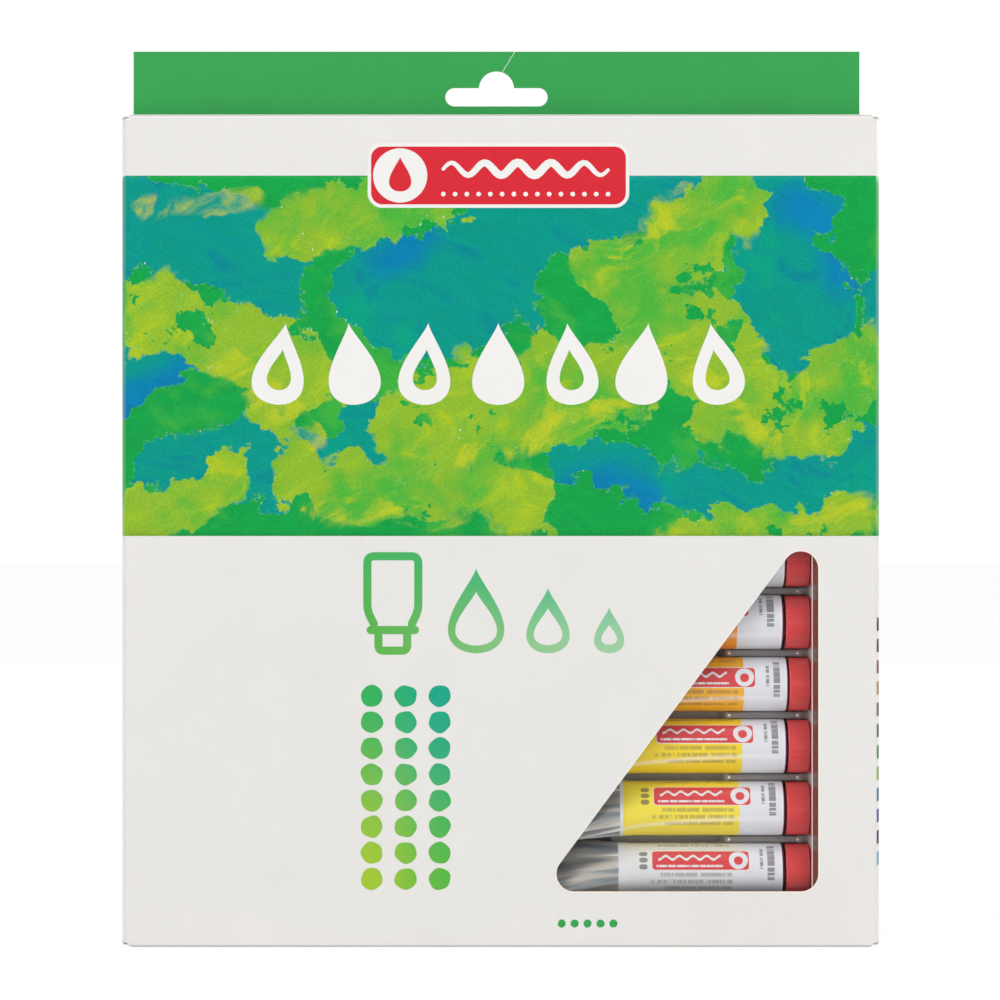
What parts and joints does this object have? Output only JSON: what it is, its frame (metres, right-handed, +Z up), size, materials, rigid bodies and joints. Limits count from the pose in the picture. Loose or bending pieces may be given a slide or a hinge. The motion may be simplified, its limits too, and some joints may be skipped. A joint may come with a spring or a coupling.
{
  "type": "gouache paint set box",
  "caption": "Flat hanging carton with a corner window and tuck closures, holding a clear tray with two columns of capped aluminium paint tubes.",
  "frame": {"origin": "centre of the closed carton's bottom, where it stands on its bottom closure", "axes": "+Z up to the hang tab; the front panel faces -Y; +X is to the right of someone facing the front"},
  "size_m": [0.2336, 0.0222, 0.277],
  "materials": {
    "carton_board": "satin",
    "tab_print": "satin",
    "clear_film": "gloss",
    "tray_plastic": "gloss",
    "tube_aluminium": "satin",
    "cap_plastic": "satin"
  },
  "bodies": {
    "carton": {"carton_sleeve": "carton_board", "hang_tab_facing": "tab_print", "window_film": "clear_film", "tray": "tray_plastic", "tube_left_01": "tube_aluminium", "tube_left_02": "tube_aluminium", "tube_left_03": "tube_aluminium", "tube_left_04": "tube_aluminium", "tube_left_05": "tube_aluminium", "tube_left_06": "tube_aluminium", "tube_left_07": "tube_aluminium", "tube_left_08": "tube_aluminium", "tube_left_09": "tube_aluminium", "tube_left_10": "tube_aluminium", "tube_left_11": "tube_aluminium", "tube_left_12": "tube_aluminium", "tube_right_01": "tube_aluminium", "tube_right_02": "tube_aluminium", "tube_right_03": "tube_aluminium", "tube_right_04": "tube_aluminium", "tube_right_05": "tube_aluminium", "tube_right_06": "tube_aluminium", "tube_right_07": "tube_aluminium", "tube_right_08": "tube_aluminium", "tube_right_09": "tube_aluminium", "tube_right_10": "tube_aluminium", "tube_right_11": "tube_aluminium", "tube_right_12": "tube_aluminium"},
    "top_lid": {"top_lid": "carton_board"},
    "top_tuck_flap": {"top_tuck_flap": "carton_board"},
    "top_dust_flap_left": {"top_dust_flap_left": "carton_board"},
    "top_dust_flap_right": {"top_dust_flap_right": "carton_board"},
    "bottom_lid": {"bottom_lid": "carton_board"},
    "bottom_tuck_flap": {"bottom_tuck_flap": "carton_board"},
    "bottom_dust_flap_left": {"bottom_dust_flap_left": "carton_board"},
    "bottom_dust_flap_right": {"bottom_dust_flap_right": "carton_board"},
    "cap_left_01": {"cap_left_01": "cap_plastic"},
    "cap_left_02": {"cap_left_02": "cap_plastic"},
    "cap_left_03": {"cap_left_03": "cap_plastic"},
    "cap_left_04": {"cap_left_04": "cap_plastic"},
    "cap_left_05": {"cap_left_05": "cap_plastic"},
    "cap_left_06": {"cap_left_06": "cap_plastic"},
    "cap_left_07": {"cap_left_07": "cap_plastic"},
    "cap_left_08": {"cap_left_08": "cap_plastic"},
    "cap_left_09": {"cap_left_09": "cap_plastic"},
    "cap_left_10": {"cap_left_10": "cap_plastic"},
    "cap_left_11": {"cap_left_11": "cap_plastic"},
    "cap_left_12": {"cap_left_12": "cap_plastic"},
    "cap_right_01": {"cap_right_01": "cap_plastic"},
    "cap_right_02": {"cap_right_02": "cap_plastic"},
    "cap_right_03": {"cap_right_03": "cap_plastic"},
    "cap_right_04": {"cap_right_04": "cap_plastic"},
    "cap_right_05": {"cap_right_05": "cap_plastic"},
    "cap_right_06": {"cap_right_06": "cap_plastic"},
    "cap_right_07": {"cap_right_07": "cap_plastic"},
    "cap_right_08": {"cap_right_08": "cap_plastic"},
    "cap_right_09": {"cap_right_09": "cap_plastic"},
    "cap_right_10": {"cap_right_10": "cap_plastic"},
    "cap_right_11": {"cap_right_11": "cap_plastic"},
    "cap_right_12": {"cap_right_12": "cap_plastic"}
  },
  "joints": [
    {"name": "top_lid_fold", "type": "hinge", "parent": "carton", "child": "top_lid", "pos_m": [0, -0.00975, 0.255], "axis": [1, 0, 0], "range_deg": [0, 170]},
    {"name": "top_tuck_fold", "type": "hinge", "parent": "top_lid", "child": "top_tuck_flap", "pos_m": [0, 0.00975, 0.255], "axis": [1, 0, 0], "range_deg": [0, 34]},
    {"name": "top_dust_flap_left_fold", "type": "hinge", "parent": "carton", "child": "top_dust_flap_left", "pos_m": [-0.1168, 0, 0.25445], "axis": [0, -1, 0], "range_deg": [0, 85]},
    {"name": "top_dust_flap_right_fold", "type": "hinge", "parent": "carton", "child": "top_dust_flap_right", "pos_m": [0.1168, 0, 0.25445], "axis": [0, 1, 0], "range_deg": [0, 85]},
    {"name": "bottom_lid_fold", "type": "hinge", "parent": "carton", "child": "bottom_lid", "pos_m": [0, -0.00975, 0], "axis": [-1, 0, 0], "range_deg": [0, 170]},
    {"name": "bottom_tuck_fold", "type": "hinge", "parent": "bottom_lid", "child": "bottom_tuck_flap", "pos_m": [0, 0.00975, 0], "axis": [-1, 0, 0], "range_deg": [0, 34]},
    {"name": "bottom_dust_flap_left_fold", "type": "hinge", "parent": "carton", "child": "bottom_dust_flap_left", "pos_m": [-0.1168, 0, 0.00055], "axis": [0, 1, 0], "range_deg": [0, 85]},
    {"name": "bottom_dust_flap_right_fold", "type": "hinge", "parent": "carton", "child": "bottom_dust_flap_right", "pos_m": [0.1168, 0, 0.00055], "axis": [0, -1, 0], "range_deg": [0, 85]},
    {"name": "cap_left_01_turn", "type": "hinge", "parent": "carton", "child": "cap_left_01", "pos_m": [-0.092, 0.0012, 0.0223], "axis": [-1, 0, 0], "range_deg": [0, 360]},
    {"name": "cap_left_02_turn", "type": "hinge", "parent": "carton", "child": "cap_left_02", "pos_m": [-0.092, 0.0012, 0.0415], "axis": [-1, 0, 0], "range_deg": [0, 360]},
    {"name": "cap_left_03_turn", "type": "hinge", "parent": "carton", "child": "cap_left_03", "pos_m": [-0.092, 0.0012, 0.0607], "axis": [-1, 0, 0], "range_deg": [0, 360]},
    {"name": "cap_left_04_turn", "type": "hinge", "parent": "carton", "child": "cap_left_04", "pos_m": [-0.092, 0.0012, 0.0799], "axis": [-1, 0, 0], "range_deg": [0, 360]},
    {"name": "cap_left_05_turn", "type": "hinge", "parent": "carton", "child": "cap_left_05", "pos_m": [-0.092, 0.0012, 0.0991], "axis": [-1, 0, 0], "range_deg": [0, 360]},
    {"name": "cap_left_06_turn", "type": "hinge", "parent": "carton", "child": "cap_left_06", "pos_m": [-0.092, 0.0012, 0.1183], "axis": [-1, 0, 0], "range_deg": [0, 360]},
    {"name": "cap_left_07_turn", "type": "hinge", "parent": "carton", "child": "cap_left_07", "pos_m": [-0.092, 0.0012, 0.1375], "axis": [-1, 0, 0], "range_deg": [0, 360]},
    {"name": "cap_left_08_turn", "type": "hinge", "parent": "carton", "child": "cap_left_08", "pos_m": [-0.092, 0.0012, 0.1567], "axis": [-1, 0, 0], "range_deg": [0, 360]},
    {"name": "cap_left_09_turn", "type": "hinge", "parent": "carton", "child": "cap_left_09", "pos_m": [-0.092, 0.0012, 0.1759], "axis": [-1, 0, 0], "range_deg": [0, 360]},
    {"name": "cap_left_10_turn", "type": "hinge", "parent": "carton", "child": "cap_left_10", "pos_m": [-0.092, 0.0012, 0.1951], "axis": [-1, 0, 0], "range_deg": [0, 360]},
    {"name": "cap_left_11_turn", "type": "hinge", "parent": "carton", "child": "cap_left_11", "pos_m": [-0.092, 0.0012, 0.2143], "axis": [-1, 0, 0], "range_deg": [0, 360]},
    {"name": "cap_left_12_turn", "type": "hinge", "parent": "carton", "child": "cap_left_12", "pos_m": [-0.092, 0.0012, 0.2335], "axis": [-1, 0, 0], "range_deg": [0, 360]},
    {"name": "cap_right_01_turn", "type": "hinge", "parent": "carton", "child": "cap_right_01", "pos_m": [0.092, 0.0012, 0.0223], "axis": [1, 0, 0], "range_deg": [0, 360]},
    {"name": "cap_right_02_turn", "type": "hinge", "parent": "carton", "child": "cap_right_02", "pos_m": [0.092, 0.0012, 0.0415], "axis": [1, 0, 0], "range_deg": [0, 360]},
    {"name": "cap_right_03_turn", "type": "hinge", "parent": "carton", "child": "cap_right_03", "pos_m": [0.092, 0.0012, 0.0607], "axis": [1, 0, 0], "range_deg": [0, 360]},
    {"name": "cap_right_04_turn", "type": "hinge", "parent": "carton", "child": "cap_right_04", "pos_m": [0.092, 0.0012, 0.0799], "axis": [1, 0, 0], "range_deg": [0, 360]},
    {"name": "cap_right_05_turn", "type": "hinge", "parent": "carton", "child": "cap_right_05", "pos_m": [0.092, 0.0012, 0.0991], "axis": [1, 0, 0], "range_deg": [0, 360]},
    {"name": "cap_right_06_turn", "type": "hinge", "parent": "carton", "child": "cap_right_06", "pos_m": [0.092, 0.0012, 0.1183], "axis": [1, 0, 0], "range_deg": [0, 360]},
    {"name": "cap_right_07_turn", "type": "hinge", "parent": "carton", "child": "cap_right_07", "pos_m": [0.092, 0.0012, 0.1375], "axis": [1, 0, 0], "range_deg": [0, 360]},
    {"name": "cap_right_08_turn", "type": "hinge", "parent": "carton", "child": "cap_right_08", "pos_m": [0.092, 0.0012, 0.1567], "axis": [1, 0, 0], "range_deg": [0, 360]},
    {"name": "cap_right_09_turn", "type": "hinge", "parent": "carton", "child": "cap_right_09", "pos_m": [0.092, 0.0012, 0.1759], "axis": [1, 0, 0], "range_deg": [0, 360]},
    {"name": "cap_right_10_turn", "type": "hinge", "parent": "carton", "child": "cap_right_10", "pos_m": [0.092, 0.0012, 0.1951], "axis": [1, 0, 0], "range_deg": [0, 360]},
    {"name": "cap_right_11_turn", "type": "hinge", "parent": "carton", "child": "cap_right_11", "pos_m": [0.092, 0.0012, 0.2143], "axis": [1, 0, 0], "range_deg": [0, 360]},
    {"name": "cap_right_12_turn", "type": "hinge", "parent": "carton", "child": "cap_right_12", "pos_m": [0.092, 0.0012, 0.2335], "axis": [1, 0, 0], "range_deg": [0, 360]}
  ],
  "couplings": [
    {"joint": "top_tuck_fold", "follows": "top_lid_fold", "ratio": 0.2},
    {"joint": "top_dust_flap_left_fold", "follows": "top_lid_fold", "ratio": 0.5},
    {"joint": "top_dust_flap_right_fold", "follows": "top_lid_fold", "ratio": 0.5},
    {"joint": "bottom_tuck_fold", "follows": "bottom_lid_fold", "ratio": 0.2},
    {"joint": "bottom_dust_flap_left_fold", "follows": "bottom_lid_fold", "ratio": 0.5},
    {"joint": "bottom_dust_flap_right_fold", "follows": "bottom_lid_fold", "ratio": 0.5}
  ]
}
